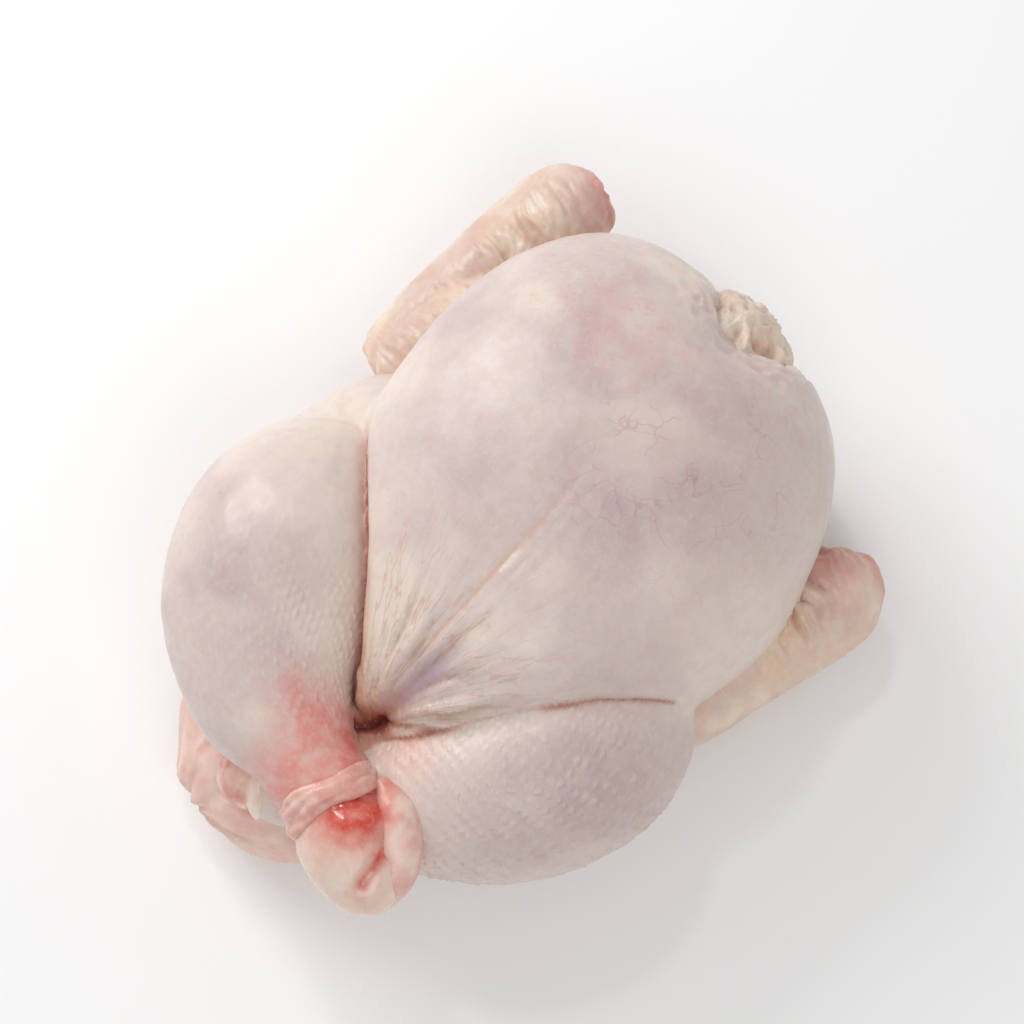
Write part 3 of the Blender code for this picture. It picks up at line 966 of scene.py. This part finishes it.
def flesh(name, base, roughness=0.45, coat=0.2, patchy=0.5, bump=0.25, coat_roughness=0.22):
    material = bpy.data.materials.new(name)
    n = Nodes(material)
    broad = n.texture(24, 2.0)
    small = n.texture(5.0, 3.0, 0.3)
    tiny = n.texture(1.3, 2.0, 0.7)
    colour = n.mix(n.times(n.stretch(broad, 0.42, 0.64), 0.35 * patchy), base, THIN_SKIN)
    colour = n.mix(n.stretch(n.texture(3.0, 3.0, 5.1), 0.4, 0.66, 0.0, 0.14), colour, BLUSH)
    colour = n.mix(n.times(n.mask("fat"), n.stretch(small, 0.3, 0.6, 0.35, 0.8)), colour, FATTY_SKIN)
    colour = n.mix(n.times(n.mask("mauve"), n.stretch(small, 0.3, 0.65, 0.75, 1.0)), colour, THIN_SKIN)
    colour = n.mix(n.times(n.mask("membrane"), 0.8), colour, MEMBRANE)

    # Thin strands that run out from the vent, where the skin is pulled tight, raised in the bump and lined in
    # painted shade.
    turn, away = n.polar(VENT)
    spokes = n.add("ShaderNodeCombineXYZ", {"X": n.times(turn, 11.0), "Y": n.times(away, 30.0)}).outputs[0]
    strands = n.add("ShaderNodeTexNoise", {"Vector": spokes, "Scale": 1.0, "Detail": 3.0}).outputs["Fac"]
    strand_shade = n.stretch(n.math("ABSOLUTE", n.math("SUBTRACT", strands, 0.5)), 0.022, 0.0)
    tight = n.mask("tight")
    colour = n.mix(n.times(n.times(strand_shade, tight), 0.5), colour, TAN_SHADE)
    # Painted shade in the fold valleys, beside the creases and round the vent.
    colour = n.mix(n.times(n.mask("tan_shade"), 0.75), colour, TAN_SHADE)
    colour = n.mix(n.times(n.mask("blush"), n.stretch(small, 0.25, 0.7, 0.55, 1.0)), colour, BLUSH)
    colour = n.mix(n.times(n.mask("red"), n.stretch(small, 0.25, 0.7, 0.6, 1.0)), colour, BLOOD)

    # Veins follow the edges of bent cells, and show in some places only.
    place = n.add("ShaderNodeTexCoord").outputs["Object"]
    drift = n.add("ShaderNodeTexNoise", {"Vector": place, "Scale": 90.0, "Detail": 2.0}).outputs["Color"]
    bent = n.add("ShaderNodeMix", data_type="VECTOR")
    for socket, value in ((0, 0.018), (4, place), (5, drift)):
        n.put(bent.inputs[socket], value)
    bent = bent.outputs[1]
    cells = n.add("ShaderNodeTexVoronoi", {"Vector": bent, "Scale": 120.0}, feature="DISTANCE_TO_EDGE")
    vein = n.stretch(cells.outputs["Distance"], 0.045, 0.0)
    vein = n.times(vein, n.stretch(n.texture(11, 1.0, 1.9), 0.42, 0.58))
    colour = n.mix(n.times(vein, n.times(n.mask("veins"), 0.36)), colour, VEIN)
    # Painted shade: brown in the creases where the parts meet.
    colour = n.mix(n.times(n.mask("crease_shade"), 0.85), colour, CREASE_SHADE)
    # Painted shade: the vent slit, darkened from its own red.
    colour = n.mix(n.times(n.mask("vent_shade"), 0.85), colour, VENT_SHADE_RED)
    points = n.add("ShaderNodeTexVoronoi", {"Vector": bent, "Scale": 300.0})
    dot = n.stretch(points.outputs["Distance"], 0.36, 0.12)
    colour = n.mix(n.times(dot, n.times(n.mask("dots"), 0.3)), colour, BLUSH)
    colour = n.mix(n.times(n.mask("pores"), 0.26), colour, FATTY_SKIN)
    colour = n.mix(n.times(n.stretch(tiny, 0.55, 0.7), 0.12), colour, FATTY_SKIN)
    n.put(n.shader.inputs["Base Color"], colour)
    gloss = n.stretch(n.texture(9, 3.0, 2.3), 0.35, 0.65, roughness - 0.08, roughness + 0.1)
    wet = n.times(n.mask("wet"), n.stretch(n.texture(4, 2.0, 3.1), 0.35, 0.6, 0.3, 1.0))
    n.put(n.shader.inputs["Roughness"], n.math("SUBTRACT", gloss, n.times(wet, 0.26), clamp=True))
    relief = n.math("ADD", n.times(small, 0.6), n.times(tiny, 0.4))
    relief = n.math("ADD", relief, n.times(n.times(strands, tight), 2.4))
    raised = n.add("ShaderNodeBump", {"Strength": bump, "Distance": 0.0006, "Height": relief})
    n.put(n.shader.inputs["Normal"], raised.outputs[0])
    for key, value in {
        "Subsurface Weight": 0.18,
        "Subsurface Scale": 0.002,
        "Subsurface Radius": (1.0, 0.45, 0.3),
        "Coat Weight": coat,
        "Coat Roughness": coat_roughness,
        "IOR": 1.42,
        "Specular IOR Level": 0.5,
    }.items():
        n.put(n.shader.inputs[key], value)
    return material


# ---------------------------------------------------------------- placing the pieces


def show(surface, name, material):
    """Makes the piece at its real size."""
    surface.at = (surface.at - MIDDLE) * UNIT
    mesh = mesh_of(surface, name)
    mesh.shade_smooth()
    for key, values in surface.masks.items():
        mesh.attributes.new(key, "FLOAT", "POINT").data.foreach_set("value", values.astype(np.float32))
    mesh.materials.append(material)
    obj = bpy.data.objects.new(name, mesh)
    bpy.context.scene.collection.objects.link(obj)
    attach(obj, "root")
    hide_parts("chicken")
    return obj


SKIN_LOOK = flesh("skin", SKIN)
WING_LOOK = flesh("wing_skin", WING_SKIN, roughness=0.48, bump=0.6)
TAIL_LOOK = flesh("tail_skin", TAIL_SKIN, roughness=0.44, patchy=0.2)
NECK_LOOK = flesh("neck_skin", NECK_SKIN, roughness=0.5, patchy=0.3, bump=0.6)
RAW_LOOK = flesh("cut_flesh", CARTILAGE, roughness=0.38, coat=0.6, patchy=0.1, coat_roughness=0.12)

show(make_skin(), "skin", SKIN_LOOK)
show(make_wing(RIGHT_WING, RIGHT_FOREARM, RIGHT_HAND, 100, -0.9, (119, 68, 42)), "right_wing", WING_LOOK)
show(make_wing(LEFT_WING, LEFT_FOREARM, LEFT_HAND, 120, 0.9, (80, -76, 40)), "left_wing", WING_LOOK)
show(make_tail(), "tail", TAIL_LOOK)
show(make_neck(), "neck_skin", NECK_LOOK)
show(make_right_knuckle(), "right_knuckle", RAW_LOOK)
show(make_left_knuckle(), "left_knuckle", RAW_LOOK)
show(make_collar(), "ankle_collar", TAIL_LOOK)
show(make_flap(), "skin_flap", TAIL_LOOK)


# ---------------------------------------------------------------- camera, lamps and floor


def aim(obj, place, target):
    obj.location = place
    obj.rotation_mode = "QUATERNION"
    obj.rotation_quaternion = (Vector(target) - Vector(place)).to_track_quat("-Z", "Y")


CAMERA_AZIMUTH, CAMERA_ELEVATION = math.radians(-46), math.radians(76)
CAMERA_TARGET = Vector((0.0156, 0.0131, 0.046))
CAMERA_DISTANCE = 1.06


def look_back(azimuth, elevation):
    """The way from the bird towards a viewer."""
    return Vector(
        (
            math.sin(azimuth) * math.cos(elevation),
            -math.cos(azimuth) * math.cos(elevation),
            math.sin(elevation),
        )
    )


camera = bpy.data.objects.new("camera", bpy.data.cameras.new("camera"))
camera.data.lens = 118
camera.data.sensor_width = 36
bpy.context.scene.collection.objects.link(camera)
aim(camera, CAMERA_TARGET + CAMERA_DISTANCE * look_back(CAMERA_AZIMUTH, CAMERA_ELEVATION), CAMERA_TARGET)
bpy.context.scene.camera = camera


def softbox(name, azimuth, elevation, distance, size, power):
    data = bpy.data.lights.new(name, "AREA")
    data.shape = "SQUARE"
    data.size = size
    data.energy = power
    lamp = bpy.data.objects.new(name, data)
    bpy.context.scene.collection.objects.link(lamp)
    way = look_back(math.radians(azimuth), math.radians(elevation))
    aim(lamp, CAMERA_TARGET + distance * way, CAMERA_TARGET)


softbox("key", 176, 32, 1.3, 0.7, 8.4)
softbox("fill", -30, 50, 1.6, 1.0, 5.2)
softbox("sparkle", 150, 62, 1.5, 0.14, 1.6)

world = bpy.data.worlds.new("studio")
world.use_nodes = True
world.node_tree.nodes["Background"].inputs["Color"].default_value = (1.0, 1.0, 1.0, 1.0)
world.node_tree.nodes["Background"].inputs["Strength"].default_value = 0.545
bpy.context.scene.world = world

floor_mesh = bpy.data.meshes.new("floor")
floor_mesh.from_pydata([(-3, -3, 0), (3, -3, 0), (3, 3, 0), (-3, 3, 0)], [], [(0, 1, 2, 3)])
floor = bpy.data.objects.new("floor", floor_mesh)
bpy.context.scene.collection.objects.link(floor)
floor_look = bpy.data.materials.new("floor")
floor_look.use_nodes = True
floor_look.node_tree.nodes["Principled BSDF"].inputs["Base Color"].default_value = (0.96, 0.96, 0.96, 1.0)
floor_look.node_tree.nodes["Principled BSDF"].inputs["Roughness"].default_value = 0.4
floor_mesh.materials.append(floor_look)

bpy.context.scene.view_settings.view_transform = "Standard"
